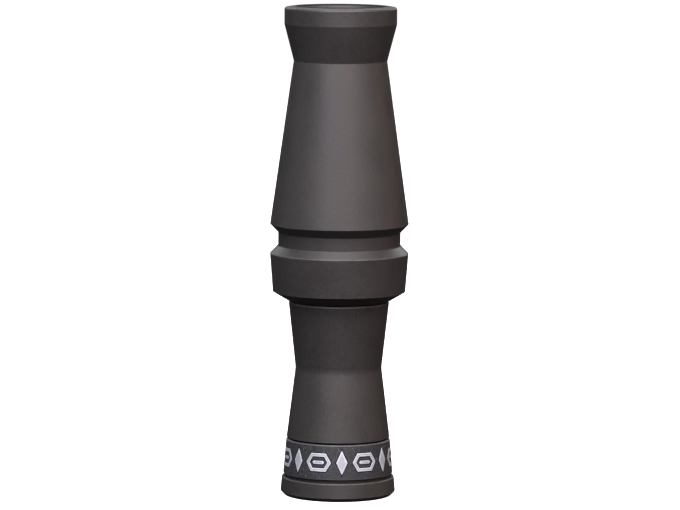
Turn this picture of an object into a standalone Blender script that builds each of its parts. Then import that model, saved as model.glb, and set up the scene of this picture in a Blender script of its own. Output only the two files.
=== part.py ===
"""Duck call, built as its separate pieces.

The axis of the call is Z. The exhaust end stands on Z = 0 and the mouthpiece is at the top.
The reeds lie on the side of the tone board that faces -Y, and "rise" below is the distance
from the axis towards -Y.

The insert body carries the band, the end ring and the tone board. The barrel slides down over
the tone board and is held by two O-rings, and a wedge clamps the reeds in the board's mortise.
"""

import math

import bmesh
import bpy
from mathutils import Matrix, Vector

MM = 0.001
GAP = 0.3 * MM

TURN_STEPS = 48
FILLET_STEPS = 3
SHARP_ANGLE = math.radians(30)
MERGE_DISTANCE = 0.00001

# End ring: the lip that the band rests on
RING_SHOULDER_Z = 5.1 * MM
RING_TOP_Z = 5.8 * MM
RING_FOOT_R = 14.7 * MM
RING_R = 15.84 * MM
RING_EDGE_R = 15.47 * MM
RING_NECK_R = 14.0 * MM
RING_FOOT_BEVEL = 1.1 * MM

# Band: round inside, cone outside
BAND_BOTTOM_Z = RING_TOP_Z + GAP
BAND_TOP_Z = 15.6 * MM
BAND_BOTTOM_R = 15.1 * MM
BAND_TOP_R = 14.32 * MM
BAND_BEVEL = 0.25 * MM

# Insert body: a spigot for the band and the ring, then two cones that meet at the waist
SPIGOT_R = 12.8 * MM
BAND_SHOULDER_Z = BAND_TOP_Z + GAP
INSERT_FOOT_R = 14.2 * MM
FOOT_RELIEF_R = 13.4 * MM
FOOT_RELIEF_HEIGHT = 0.25 * MM
WAIST_Z = 35.27 * MM
WAIST_R = 11.86 * MM
WAIST_FILLET = 8 * MM
INSERT_TOP_Z = 53.65 * MM
INSERT_TOP_R = 13.87 * MM
EXHAUST_MOUTH_R = 10.5 * MM
EXHAUST_BORE_R = 4.75 * MM
EXHAUST_FLARE_LENGTH = 30 * MM
EXHAUST_FLARE_STEPS = 7
SOCKET_FLOOR_Z = 39.7 * MM

# Barrel, outside, from its foot to the crown of the mouthpiece
BARREL_FOOT_Z = INSERT_TOP_Z + GAP
BARREL_FOOT_R = 14.2 * MM
COLLAR_BOTTOM_Z = 56.35 * MM
COLLAR_BOTTOM_R = 18.24 * MM
COLLAR_TOP_Z = 66.9 * MM
COLLAR_TOP_R = 19.05 * MM
GROOVE_BOTTOM_Z = 69.15 * MM
GROOVE_TOP_Z = 72.64 * MM
GROOVE_R = 16.82 * MM
CONE_BOTTOM_Z = 74.95 * MM
CONE_BOTTOM_R = 19.05 * MM
NECK_Z = 119.7 * MM
NECK_R = 12.8 * MM
LIP_BOTTOM_Z = 129.71 * MM
LIP_TOP_Z = 134.3 * MM
LIP_R = 15.4 * MM
CROWN_Z = 134.6 * MM
CROWN_R = 13.7 * MM
EDGE_FILLET = 0.5 * MM

# Barrel, inside
MOUTH_R = 12.4 * MM
MOUTH_BEVEL = 0.2 * MM
MOUTH_BEVEL_DEPTH = 1.0 * MM
BOWL_TOP_DEPTH = 2.6 * MM
BORE_TOP_R = 8.4 * MM
BOWL_DEPTH = MOUTH_R - BORE_TOP_R
BORE_BOTTOM_R = 9.2 * MM
BORE_BOTTOM_Z = 79.5 * MM
BARREL_SOCKET_R = 10.3 * MM
BARREL_SOCKET_TOP_Z = 78.4 * MM

# Tone board, turned shape
TENON_R = 10.0 * MM
TENON_TOP_Z = 75.5 * MM
TENON_BEVEL = 0.5 * MM
BOARD_R = 7.9 * MM
BOARD_TIP_Z = 116 * MM
BOARD_TIP_BEVEL = 0.8 * MM
BOARD_SPIGOT_R = 7.0 * MM
BOARD_SPIGOT_BOTTOM_Z = SOCKET_FLOOR_Z + GAP
BOARD_BORE_TOP_Z = 57 * MM
GLAND_R = 8.6 * MM
GLAND_HEIGHT = 1.8 * MM
LOWER_GLAND_Z = 56.7 * MM
UPPER_GLAND_Z = 60.1 * MM

# O-rings, one in the middle of each gland
O_RING_SECTION_R = 0.55 * MM
O_RING_MEAN_R = GLAND_R + GAP + O_RING_SECTION_R
O_RING_SECTION_STEPS = 10

# Tone board, milled shape: mortise for reeds and wedge, falling face, channel and tone hole
MORTISE_FLOOR_RISE = 0.6 * MM
MORTISE_ROOF_RISE = 4.4 * MM
MORTISE_WIDTH = 13 * MM
MORTISE_BACK_Z = 62 * MM
FACE_START_Z = TENON_TOP_Z + GAP
FACE_DROP = 0.02 * MM
FACE_CURVE_R = 500 * MM
FACE_STEPS = 10
CHANNEL_WIDTH = 6.6 * MM
CHANNEL_LENGTH = 36.5 * MM
CHANNEL_TILT = math.radians(5)
CHANNEL_WALL_RISE = 4.3 * MM
CHANNEL_FLOOR_STEPS = 8
TONE_HOLE_R = 3.1 * MM
TONE_HOLE_RISE = -3.2 * MM
TONE_HOLE_DEPTH = 1.5 * MM
TONE_HOLE_STEPS = 24
CLEARANCE = 0.5 * MM

# Reeds: two flat strips, a gap apart, pivoting at the mouth of the mortise
REED_WIDTH = 12.7 * MM
REED_THICKNESS = 0.3 * MM
REED_BACK_Z = MORTISE_BACK_Z + GAP
REED_CORNER = 3.5 * MM
REED_CORNER_STEPS = 6
LOWER_REED_TIP_Z = 114.6 * MM
UPPER_REED_TIP_Z = 113 * MM
LOWER_REED_RISE = MORTISE_FLOOR_RISE + GAP
UPPER_REED_RISE = LOWER_REED_RISE + REED_THICKNESS + GAP
PIVOT_RISE = UPPER_REED_RISE - GAP / 2

# Wedge: clears the reeds by a gap at its front edge and by more at its back
WEDGE_WIDTH = MORTISE_WIDTH - 2 * GAP
WEDGE_LENGTH = TENON_TOP_Z - MORTISE_BACK_Z - GAP
WEDGE_FRONT_RISE = UPPER_REED_RISE + REED_THICKNESS + GAP
WEDGE_TOP_RISE = MORTISE_ROOF_RISE - GAP
WEDGE_TAPER = 0.5 * MM

# Finishes: colour, roughness and metallic value
CHARCOAL = ((0.045, 0.04, 0.041), 0.55, 0.0)
BLACK_METAL = ((0.06, 0.06, 0.066), 0.4, 0.8)
SMOKED_PLASTIC = ((0.03, 0.03, 0.032), 0.25, 0.0)
CLEAR_FILM = ((0.55, 0.56, 0.56), 0.3, 0.0)
BLACK_RUBBER = ((0.012, 0.012, 0.012), 0.6, 0.0)
PRESSED_CORK = ((0.42, 0.25, 0.13), 0.85, 0.0)


def clear_scene():
    for old_object in list(bpy.data.objects):
        bpy.data.objects.remove(old_object)


def new_group(name):
    group = bpy.data.collections.new(name)
    bpy.context.scene.collection.children.link(group)
    return group


def new_material(name, colour, roughness, metallic):
    material = bpy.data.materials.new(name)
    material.use_nodes = True
    shader = material.node_tree.nodes["Principled BSDF"]
    shader.inputs["Base Color"].default_value = (*colour, 1.0)
    shader.inputs["Roughness"].default_value = roughness
    shader.inputs["Metallic"].default_value = metallic
    return material


def arc(centre, radius, first, last, steps):
    """Points on an arc. Angles are in degrees, from the radial direction towards +Z."""
    points = []
    for step in range(steps + 1):
        angle = math.radians(first + (last - first) * step / steps)
        points.append((centre[0] + radius * math.cos(angle), centre[1] + radius * math.sin(angle)))
    return points


def fillet(before, corner, after, radius):
    """Points that round the corner between its two neighbours with the given radius."""
    corner = Vector(corner)
    to_before = (Vector(before) - corner).normalized()
    to_after = (Vector(after) - corner).normalized()
    half_angle = to_before.angle(to_after) / 2
    centre = corner + (to_before + to_after).normalized() * radius / math.sin(half_angle)
    first = corner + to_before * radius / math.tan(half_angle) - centre
    last = corner + to_after * radius / math.tan(half_angle) - centre
    first_angle = math.degrees(math.atan2(first.y, first.x))
    last_angle = math.degrees(math.atan2(last.y, last.x))
    turn = (last_angle - first_angle + 180) % 360 - 180
    return arc(centre, radius, first_angle, first_angle + turn, FILLET_STEPS)


def turned(name, outline, group):
    """A solid turned about Z. The closed outline lists (radius, height), and runs down the
    outer side first. Its edge along the axis, if it has one, is left out."""
    count = len(outline)
    edges = []
    for index in range(count):
        following = (index + 1) % count
        if outline[index][0] > 0 or outline[following][0] > 0:
            edges.append((index, following))
    mesh = bpy.data.meshes.new(name)
    mesh.from_pydata([(radius, 0.0, height) for radius, height in outline], edges, [])
    piece = bpy.data.objects.new(name, mesh)
    group.objects.link(piece)
    screw = piece.modifiers.new("turn", "SCREW")
    screw.axis = "Z"
    screw.angle = math.tau
    screw.steps = TURN_STEPS
    screw.render_steps = TURN_STEPS
    screw.use_merge_vertices = True
    screw.merge_threshold = MERGE_DISTANCE
    return piece


def plate(name, outline, low, high, placement, group):
    """A flat outline in the local XY plane, thickened from low to high along local Z."""
    curve = bpy.data.curves.new(name, "CURVE")
    curve.dimensions = "2D"
    curve.fill_mode = "BOTH"
    curve.extrude = (high - low) / 2
    spline = curve.splines.new("POLY")
    spline.points.add(len(outline) - 1)
    for point, (x, y) in zip(spline.points, outline):
        point.co = (x, y, 0.0, 1.0)
    spline.use_cyclic_u = True
    drawing = bpy.data.objects.new(name + "_outline", curve)
    group.objects.link(drawing)
    bpy.context.view_layer.update()
    depsgraph = bpy.context.evaluated_depsgraph_get()
    mesh = bpy.data.meshes.new_from_object(drawing.evaluated_get(depsgraph))
    bpy.data.objects.remove(drawing)
    shape = bmesh.new()
    shape.from_mesh(mesh)
    bmesh.ops.remove_doubles(shape, verts=shape.verts, dist=MERGE_DISTANCE)
    bmesh.ops.translate(shape, verts=shape.verts, vec=(0.0, 0.0, (low + high) / 2))
    bmesh.ops.recalc_face_normals(shape, faces=shape.faces)
    shape.to_mesh(mesh)
    shape.free()
    piece = bpy.data.objects.new(name, mesh)
    piece.matrix_world = placement
    group.objects.link(piece)
    return piece


def as_cutter(piece):
    piece.hide_render = True
    piece.display_type = "WIRE"
    return piece


def adopt(name, group):
    """Name the primitive that was just added and move it into the group."""
    piece = bpy.context.active_object
    piece.name = name
    for owner in list(piece.users_collection):
        owner.objects.unlink(piece)
    group.objects.link(piece)
    return piece


def cut(piece, cutter):
    boolean = piece.modifiers.new(cutter.name, "BOOLEAN")
    boolean.operation = "DIFFERENCE"
    boolean.solver = "EXACT"
    boolean.object = as_cutter(cutter)


def finish(piece, material):
    """Turn the piece's modifiers into mesh, shade its round faces smooth and colour it."""
    bpy.context.view_layer.update()
    depsgraph = bpy.context.evaluated_depsgraph_get()
    mesh = bpy.data.meshes.new_from_object(piece.evaluated_get(depsgraph))
    piece.modifiers.clear()
    piece.data = mesh
    mesh.shade_smooth()
    mesh.set_sharp_from_angle(angle=SHARP_ANGLE)
    mesh.materials.clear()
    mesh.materials.append(material)


def end_ring(group):
    outline = [
        (RING_NECK_R, RING_TOP_Z),
        (RING_NECK_R, RING_SHOULDER_Z),
        (RING_EDGE_R, RING_SHOULDER_Z),
        (RING_R, RING_FOOT_BEVEL),
        (RING_FOOT_R, 0.0),
        (SPIGOT_R + 2 * GAP, 0.0),
        (SPIGOT_R + GAP, GAP),
        (SPIGOT_R + GAP, RING_TOP_Z),
    ]
    return turned("end_ring", outline, group)


def band(group):
    outline = [
        (BAND_TOP_R - BAND_BEVEL, BAND_TOP_Z),
        (BAND_TOP_R, BAND_TOP_Z - BAND_BEVEL),
        (BAND_BOTTOM_R, BAND_BOTTOM_Z),
        (SPIGOT_R + GAP, BAND_BOTTOM_Z),
        (SPIGOT_R + GAP, BAND_TOP_Z),
    ]
    return turned("band", outline, group)


def exhaust_flare():
    """The trumpet-shaped exhaust, from its mouth up to the straight bore."""
    points = []
    for step in range(EXHAUST_FLARE_STEPS + 1):
        share = step / EXHAUST_FLARE_STEPS
        widening = (1 - share) ** 2
        radius = EXHAUST_BORE_R + (EXHAUST_MOUTH_R - EXHAUST_BORE_R) * widening
        points.append((radius, GAP + EXHAUST_FLARE_LENGTH * share))
    return points


def insert_body(group):
    socket_rim = (BOARD_SPIGOT_R + GAP, INSERT_TOP_Z)
    top = (INSERT_TOP_R, INSERT_TOP_Z)
    waist = (WAIST_R, WAIST_Z)
    foot = (INSERT_FOOT_R, BAND_SHOULDER_Z + FOOT_RELIEF_HEIGHT)
    outline = [
        *fillet(socket_rim, top, waist, EDGE_FILLET),
        *fillet(top, waist, foot, WAIST_FILLET),
        foot,
        (FOOT_RELIEF_R, BAND_SHOULDER_Z),
        (SPIGOT_R, BAND_SHOULDER_Z),
        (SPIGOT_R, GAP),
        *exhaust_flare(),
        (EXHAUST_BORE_R, SOCKET_FLOOR_Z),
        (BOARD_SPIGOT_R + GAP, SOCKET_FLOOR_Z),
        socket_rim,
    ]
    return turned("insert_body", outline, group)


def barrel(group):
    crown = (CROWN_R, CROWN_Z)
    lip_top = (LIP_R, LIP_TOP_Z)
    lip_bottom = (LIP_R, LIP_BOTTOM_Z)
    collar_top = (COLLAR_TOP_R, COLLAR_TOP_Z)
    groove_bottom = (GROOVE_R, GROOVE_BOTTOM_Z)
    collar_bottom = (COLLAR_BOTTOM_R, COLLAR_BOTTOM_Z)
    bowl_centre = (BORE_TOP_R, CROWN_Z - BOWL_TOP_DEPTH)
    outline = [
        crown,
        *fillet(crown, lip_top, lip_bottom, EDGE_FILLET),
        lip_bottom,
        (NECK_R, NECK_Z),
        (CONE_BOTTOM_R, CONE_BOTTOM_Z),
        (GROOVE_R, GROOVE_TOP_Z),
        groove_bottom,
        *fillet(groove_bottom, collar_top, collar_bottom, EDGE_FILLET),
        collar_bottom,
        (BARREL_FOOT_R, BARREL_FOOT_Z),
        (BARREL_SOCKET_R, BARREL_FOOT_Z),
        (BARREL_SOCKET_R, BARREL_SOCKET_TOP_Z),
        (BORE_BOTTOM_R, BORE_BOTTOM_Z),
        *arc(bowl_centre, BOWL_DEPTH, -90, 0, FILLET_STEPS + 1),
        (MOUTH_R, CROWN_Z - MOUTH_BEVEL_DEPTH),
        (MOUTH_R + MOUTH_BEVEL, CROWN_Z),
    ]
    return turned("barrel", outline, group)


def tone_board_blank(group):
    """The turned tone board before milling: board, tenon with two glands, and bored spigot."""
    outline = [
        (0.0, BOARD_TIP_Z),
        (BOARD_R - BOARD_TIP_BEVEL, BOARD_TIP_Z),
        (BOARD_R, BOARD_TIP_Z - BOARD_TIP_BEVEL),
        (BOARD_R, TENON_TOP_Z),
        (TENON_R - TENON_BEVEL, TENON_TOP_Z),
        (TENON_R, TENON_TOP_Z - TENON_BEVEL),
    ]
    for gland_z in (UPPER_GLAND_Z, LOWER_GLAND_Z):
        outline += [
            (TENON_R, gland_z + GLAND_HEIGHT / 2),
            (GLAND_R, gland_z + GLAND_HEIGHT / 2),
            (GLAND_R, gland_z - GLAND_HEIGHT / 2),
            (TENON_R, gland_z - GLAND_HEIGHT / 2),
        ]
    outline += [
        (TENON_R, BARREL_FOOT_Z),
        (BOARD_SPIGOT_R, BARREL_FOOT_Z),
        (BOARD_SPIGOT_R, BOARD_SPIGOT_BOTTOM_Z),
        (EXHAUST_BORE_R, BOARD_SPIGOT_BOTTOM_Z),
        (EXHAUST_BORE_R, BOARD_BORE_TOP_Z),
        (0.0, BOARD_BORE_TOP_Z),
    ]
    return turned("tone_board", outline, group)


def side_view():
    """Placement of an outline drawn as (height along the call, rise), thickened along X."""
    return Matrix(((0, 0, 1, 0), (0, -1, 0, 0), (1, 0, 0, 0), (0, 0, 0, 1)))


def face_cutter(cutters):
    """Everything above the board's face, which falls away from the reeds towards the tip."""
    end_z = BOARD_TIP_Z + TENON_R
    outline = []
    for step in range(FACE_STEPS + 1):
        along = (end_z - FACE_START_Z) * step / FACE_STEPS
        fall = along ** 2 / (2 * FACE_CURVE_R)
        outline.append((FACE_START_Z + along, MORTISE_FLOOR_RISE - FACE_DROP - fall))
    outline.append((end_z, TENON_R))
    outline.append((FACE_START_Z, TENON_R))
    return plate("face_cutter", outline, -TENON_R, TENON_R, side_view(), cutters)


def mortise_cutter(cutters):
    front_z = FACE_START_Z + CLEARANCE
    bpy.ops.mesh.primitive_cube_add(
        size=1.0,
        location=(0.0, -(MORTISE_FLOOR_RISE + MORTISE_ROOF_RISE) / 2, (MORTISE_BACK_Z + front_z) / 2),
        scale=(MORTISE_WIDTH, MORTISE_ROOF_RISE - MORTISE_FLOOR_RISE, front_z - MORTISE_BACK_Z),
    )
    return adopt("mortise_cutter", cutters)


def channel_cutter(cutters):
    """A round-bottomed slot that starts at the tone hole and gets shallower towards the tip."""
    half_width = CHANNEL_WIDTH / 2
    outline = arc((0.0, 0.0), half_width, 180, 360, CHANNEL_FLOOR_STEPS)
    outline.append((half_width, CHANNEL_WALL_RISE))
    outline.append((-half_width, CHANNEL_WALL_RISE))
    start = Matrix.Translation((0.0, -TONE_HOLE_RISE, TENON_TOP_Z))
    placement = start @ Matrix.Rotation(CHANNEL_TILT + math.pi, 4, "X")
    return plate("channel_cutter", outline, -CHANNEL_LENGTH, CLEARANCE, placement, cutters)


def tone_hole_cutter(cutters):
    bottom_z = BOARD_BORE_TOP_Z - TONE_HOLE_DEPTH
    top_z = TENON_TOP_Z + CLEARANCE
    bpy.ops.mesh.primitive_cylinder_add(
        vertices=TONE_HOLE_STEPS,
        radius=TONE_HOLE_R,
        depth=top_z - bottom_z,
        location=(0.0, -TONE_HOLE_RISE, (bottom_z + top_z) / 2),
    )
    return adopt("tone_hole_cutter", cutters)


def tone_board(group, cutters):
    piece = tone_board_blank(group)
    cut(piece, face_cutter(cutters))
    cut(piece, mortise_cutter(cutters))
    cut(piece, tone_hole_cutter(cutters))
    cut(piece, channel_cutter(cutters))
    return piece


def o_ring(name, height, group):
    bpy.ops.mesh.primitive_torus_add(
        location=(0.0, 0.0, height),
        major_radius=O_RING_MEAN_R,
        minor_radius=O_RING_SECTION_R,
        major_segments=TURN_STEPS,
        minor_segments=O_RING_SECTION_STEPS,
    )
    return adopt(name, group)


def reed(name, tip_z, rise, group):
    """A flat strip with rounded tip corners. Its origin is on the line that it bends about."""
    half_width = REED_WIDTH / 2
    length = tip_z - TENON_TOP_Z
    tail = REED_BACK_Z - TENON_TOP_Z
    corner_x = half_width - REED_CORNER
    corner_y = length - REED_CORNER
    outline = [(-half_width, tail), (half_width, tail)]
    outline += arc((corner_x, corner_y), REED_CORNER, 0, 90, REED_CORNER_STEPS)
    outline += arc((-corner_x, corner_y), REED_CORNER, 90, 180, REED_CORNER_STEPS)
    pivot = Matrix.Translation((0.0, -PIVOT_RISE, TENON_TOP_Z))
    placement = pivot @ Matrix.Rotation(math.pi / 2, 4, "X")
    low = rise - PIVOT_RISE
    return plate(name, outline, low, low + REED_THICKNESS, placement, group)


def wedge(group):
    """A block whose underside rises towards its back. Its origin is on its lower front edge."""
    height = WEDGE_TOP_RISE - WEDGE_FRONT_RISE
    outline = [(0.0, 0.0), (0.0, height), (-WEDGE_LENGTH, height), (-WEDGE_LENGTH, WEDGE_TAPER)]
    placement = Matrix.Translation((0.0, -WEDGE_FRONT_RISE, TENON_TOP_Z)) @ side_view()
    return plate("wedge", outline, -WEDGE_WIDTH / 2, WEDGE_WIDTH / 2, placement, group)


def build():
    clear_scene()
    group = new_group("duck_call")
    cutters = new_group("cutters")
    charcoal = new_material("blasted_charcoal", *CHARCOAL)
    black_metal = new_material("black_anodised", *BLACK_METAL)
    smoke = new_material("smoked_board", *SMOKED_PLASTIC)
    film = new_material("reed_film", *CLEAR_FILM)
    rubber = new_material("seal_rubber", *BLACK_RUBBER)
    cork = new_material("wedge_cork", *PRESSED_CORK)
    finish(barrel(group), charcoal)
    finish(insert_body(group), charcoal)
    finish(end_ring(group), charcoal)
    finish(band(group), black_metal)
    finish(tone_board(group, cutters), smoke)
    finish(o_ring("o_ring_lower", LOWER_GLAND_Z, group), rubber)
    finish(o_ring("o_ring_upper", UPPER_GLAND_Z, group), rubber)
    finish(reed("reed_lower", LOWER_REED_TIP_Z, LOWER_REED_RISE, group), film)
    finish(reed("reed_upper", UPPER_REED_TIP_Z, UPPER_REED_RISE, group), film)
    finish(wedge(group), cork)


build()
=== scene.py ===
import math

import bmesh
import bpy
from mathutils import Matrix, Vector
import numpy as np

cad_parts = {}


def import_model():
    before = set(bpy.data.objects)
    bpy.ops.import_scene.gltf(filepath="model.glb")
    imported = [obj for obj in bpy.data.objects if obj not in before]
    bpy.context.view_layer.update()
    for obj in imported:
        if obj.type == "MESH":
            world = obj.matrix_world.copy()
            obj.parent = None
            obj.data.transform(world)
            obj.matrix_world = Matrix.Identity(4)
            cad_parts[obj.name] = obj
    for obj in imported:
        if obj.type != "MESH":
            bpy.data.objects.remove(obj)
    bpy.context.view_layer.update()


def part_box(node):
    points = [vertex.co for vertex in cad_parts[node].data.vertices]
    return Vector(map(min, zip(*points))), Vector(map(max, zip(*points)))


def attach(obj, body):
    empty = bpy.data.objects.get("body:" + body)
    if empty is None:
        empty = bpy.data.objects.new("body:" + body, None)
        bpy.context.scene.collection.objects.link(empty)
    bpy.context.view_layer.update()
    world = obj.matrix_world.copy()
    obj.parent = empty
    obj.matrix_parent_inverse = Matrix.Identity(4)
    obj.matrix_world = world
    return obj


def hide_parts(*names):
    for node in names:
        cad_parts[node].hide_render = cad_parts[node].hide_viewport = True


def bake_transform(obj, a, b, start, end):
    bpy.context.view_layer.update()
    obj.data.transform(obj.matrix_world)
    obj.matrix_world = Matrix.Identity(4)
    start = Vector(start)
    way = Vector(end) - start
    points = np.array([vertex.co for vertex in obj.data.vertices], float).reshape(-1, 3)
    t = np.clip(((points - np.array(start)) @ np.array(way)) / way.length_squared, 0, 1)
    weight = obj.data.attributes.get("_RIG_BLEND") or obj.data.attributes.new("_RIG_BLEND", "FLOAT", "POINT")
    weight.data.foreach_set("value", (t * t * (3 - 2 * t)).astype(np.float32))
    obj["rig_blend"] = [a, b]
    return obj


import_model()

MM = 0.001
TURN_STEPS = 256
BOARD_TURN_STEPS = 128
FILLET_STEPS = 6
SUPPORT = 0.15 * MM
SPACING = 2.5 * MM
SHARP_ANGLE = math.radians(32)
MERGE_DISTANCE = 0.0001 * MM

# Wear and painted light on a surface: from -1, painted shade in a dark inner corner, over 0, to 1 on a
# rubbed outer edge that also carries a painted highlight
WORN_AND_HIGHLIT = 1.0
PAINTED_SHADE = -1.0
# A light touch of wear and painted highlight on the rim's edges
RIM_WEAR_AND_HIGHLIGHT = 0.2
WIDEST_PAINTED_EDGE = 1 * MM

# Heights and radii that the frame gives
BAND_LOW, BAND_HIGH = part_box("band")
RING_LOW, RING_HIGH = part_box("end_ring")
INSERT_LOW, INSERT_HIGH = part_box("insert_body")
BARREL_LOW, BARREL_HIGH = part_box("barrel")
BOARD_LOW, BOARD_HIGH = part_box("tone_board")
MORTISE_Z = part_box("wedge")[1].z
GAP = BAND_LOW.z - RING_HIGH.z

# Stations of the turned outlines between those, as in the CAD
RING_SHOULDER_Z = 5.1 * MM
RING_FOOT_R = 14.7 * MM
RING_EDGE_R = 15.47 * MM
RING_NECK_R = 14.0 * MM
RING_FOOT_BEVEL = 1.1 * MM
BAND_TOP_R = 14.32 * MM
BAND_BEVEL = 0.25 * MM
SPIGOT_R = 12.8 * MM
WAIST_Z = 35.27 * MM
WAIST_R = 11.86 * MM
INSERT_TOP_R = 13.87 * MM
FOOT_RELIEF_R = 13.4 * MM
FOOT_RELIEF_HEIGHT = 0.25 * MM
EXHAUST_MOUTH_R = 10.5 * MM
EXHAUST_BORE_R = 4.75 * MM
EXHAUST_FLARE_LENGTH = 30 * MM
EXHAUST_FLARE_STEPS = 24
SOCKET_FLOOR_Z = 39.7 * MM
BARREL_FOOT_R = 14.2 * MM
COLLAR_BOTTOM_Z = 56.35 * MM
COLLAR_BOTTOM_R = 18.24 * MM
COLLAR_TOP_Z = 66.9 * MM
COLLAR_TOP_R = 19.05 * MM
GROOVE_BOTTOM_Z = 69.15 * MM
GROOVE_TOP_Z = 72.64 * MM
GROOVE_R = 16.82 * MM
CONE_BOTTOM_Z = 74.95 * MM
NECK_Z = 119.7 * MM
NECK_R = 12.8 * MM
LIP_BOTTOM_Z = 129.71 * MM
LIP_TOP_Z = 134.3 * MM
LIP_R = 15.4 * MM
CROWN_R = 13.7 * MM
MOUTH_R = 12.4 * MM
MOUTH_BEVEL = 0.2 * MM
MOUTH_BEVEL_DEPTH = 1.0 * MM
BOWL_TOP_DEPTH = 2.6 * MM
BOWL_STEPS = 24
BORE_TOP_R = 8.4 * MM
BORE_BOTTOM_R = 9.2 * MM
BORE_BOTTOM_Z = 79.5 * MM
BARREL_SOCKET_R = 10.3 * MM
BARREL_SOCKET_TOP_Z = 78.4 * MM

# The upper share of the bevel inside the mouth that is painted dark, as painted shade on the mouth's inner
# edge
MOUTH_LINE = 0.35

# Roundings of the turned edges, from the keenest to the broadest
KEEN_ROUND = 0.06 * MM
GLAND_ROUND = 0.08 * MM
CRISP_ROUND = 0.1 * MM
FOOT_ROUND = 0.12 * MM
SMALL_ROUND = 0.15 * MM
MEDIUM_ROUND = 0.2 * MM
SOFT_ROUND = 0.25 * MM
BROAD_ROUND = 0.3 * MM
INSERT_TOP_ROUND = 0.5 * MM
LIP_ROUND = 0.6 * MM
WAIST_ROUND = 8 * MM

# Tenon seals: the section's radius, and how far its middle lies inside the outermost radius
SEAL_SECTION_R = 0.6 * MM
SEAL_SECTION_INSET = 0.55 * MM
SEAL_SECTION_STEPS = 28

# Tone board. A rise is a height above the call's axis, on the side that the reeds face
TENON_R = 10.0 * MM
TENON_BEVEL = 0.5 * MM
BOARD_R = 7.9 * MM
BOARD_TIP_BEVEL = 0.8 * MM
BOARD_SPIGOT_R = 7.0 * MM
BOARD_BORE_TOP_Z = 57 * MM
GLAND_R = 8.6 * MM
GLAND_HEIGHT = 1.8 * MM
GLAND_HEIGHTS = (60.1 * MM, 56.7 * MM)
MORTISE_FLOOR_RISE = 0.6 * MM
MORTISE_ROOF_RISE = 4.4 * MM
MORTISE_WIDTH = 13 * MM
MORTISE_BACK_Z = 62 * MM
FACE_CURVE_R = 500 * MM
FACE_DROP = 0.02 * MM
FACE_STEPS = 40
CHANNEL_WIDTH = 6.6 * MM
CHANNEL_LENGTH = 36.5 * MM
CHANNEL_TILT = math.radians(5)
CHANNEL_WALL_RISE = 4.3 * MM
CHANNEL_STEPS = 32
TONE_HOLE_R = 3.1 * MM
TONE_HOLE_RISE = -3.2 * MM
TONE_HOLE_STEPS = 64
TONE_HOLE_OVERLAP = 1.5 * MM
CUT_CLEARANCE = 0.5 * MM

# Reeds and wedge
REED_CORNER = 3.5 * MM
REED_ROWS = 96
REED_COLUMNS = 24
DIMPLE_FROM_TIP = 17 * MM
DIMPLE_R = 2.2 * MM
DIMPLE_DEPTH = 0.2 * MM
WEDGE_TAPER = 0.5 * MM
WEDGE_ROUND = 0.25 * MM
WEDGE_ROUND_STEPS = 3

# Marks on the band: open hexagons and solid diamonds, turn by turn
MARK_PAIRS = 7
MARK_TURN = math.radians(4.3)
MARK_HEIGHT = 4.9 * MM
HEXAGON_WIDTH = 7.4 * MM
HEXAGON_NOSE = 1.5 * MM
HEXAGON_STROKE = 0.85 * MM
HEXAGON_BAR = 0.85 * MM
DIAMOND_WIDTH = 3.1 * MM
DIAMOND_HEIGHT = 6.6 * MM
MARK_LIFT = 0.05 * MM
MARK_DISH = 0.02 * MM
MARK_BEVEL = 0.06 * MM
MARK_EDGE_LIFT = MARK_LIFT - MARK_BEVEL / 2
MARK_DISHED_LIFT = MARK_LIFT - MARK_DISH
MARK_DEPTH = 0.06 * MM
MARK_CREST = 0.3
MARK_FILL_SHARES = (0.05, 0.35, 0.7)
MARK_EDGE_STEPS = 8
# The ring of painted shadow round each mark: its width and its lift
SHADOW_RING_WIDTH = 0.28 * MM
SHADOW_RING_LIFT = 0.01 * MM

# Colours of the surfaces, as linear red, green and blue
CHARCOAL_DARK = (0.0158, 0.0142, 0.0148)
CHARCOAL_LIGHT = (0.0202, 0.0180, 0.0183)
CHARCOAL_SPECK = (0.055, 0.05, 0.05)
# Worn edges, lightened both by wear and as a painted highlight
CHARCOAL_WORN_HIGHLIGHT = (0.07, 0.065, 0.066)
# Painted shade in creases and joints
CHARCOAL_PAINTED_SHADE = (0.004, 0.0035, 0.0035)
ANODISED_DARK = (0.016, 0.016, 0.019)
ANODISED_LIGHT = (0.046, 0.047, 0.055)
ANODISED_SPOT = (0.14, 0.14, 0.155)
# Worn edges with a painted highlight, and creases and joints in painted shade
ANODISED_WORN_HIGHLIGHT = (0.14, 0.14, 0.15)
ANODISED_PAINTED_SHADE = (0.004, 0.004, 0.004)
SILVER_DARK = (0.26, 0.28, 0.32)
SILVER_LIGHT = (0.42, 0.45, 0.51)
# The marks' edges, lighter by wear and as a painted highlight
SILVER_WORN_HIGHLIGHT = (0.62, 0.66, 0.73)
# The painted shadow round the marks
PAINTED_SHADOW_RING = (0.008, 0.008, 0.01)
BOARD_DARK = (0.022, 0.021, 0.023)
BOARD_LIGHT = (0.035, 0.033, 0.034)
FILM_DARK = (0.20, 0.215, 0.22)
FILM_LIGHT = (0.25, 0.265, 0.27)
RUBBER_DARK = (0.010, 0.010, 0.010)
RUBBER_LIGHT = (0.022, 0.022, 0.023)
CORK_DARK = (0.15, 0.083, 0.038)
CORK_LIGHT = (0.27, 0.17, 0.09)
CORK_FLECK = (0.08, 0.04, 0.018)
CORK_SEAM = (0.05, 0.025, 0.012)
FLOOR_DARK = (0.93, 0.93, 0.93)
FLOOR_LIGHT = (0.95, 0.95, 0.95)
WHITE = (1.0, 1.0, 1.0, 1.0)

# Scales of a noise along X, Y and Z. A small scale draws it out into lines in that direction
ROUND_THE_CALL = (0.02, 0.02, 1.0)
ACROSS_THE_BOARD = (0.06, 0.06, 1.0)
ALONG_THE_FILM = (1.0, 1.0, 0.04)
UP_THE_MARK = (1.0, 1.0, 0.25)

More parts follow.
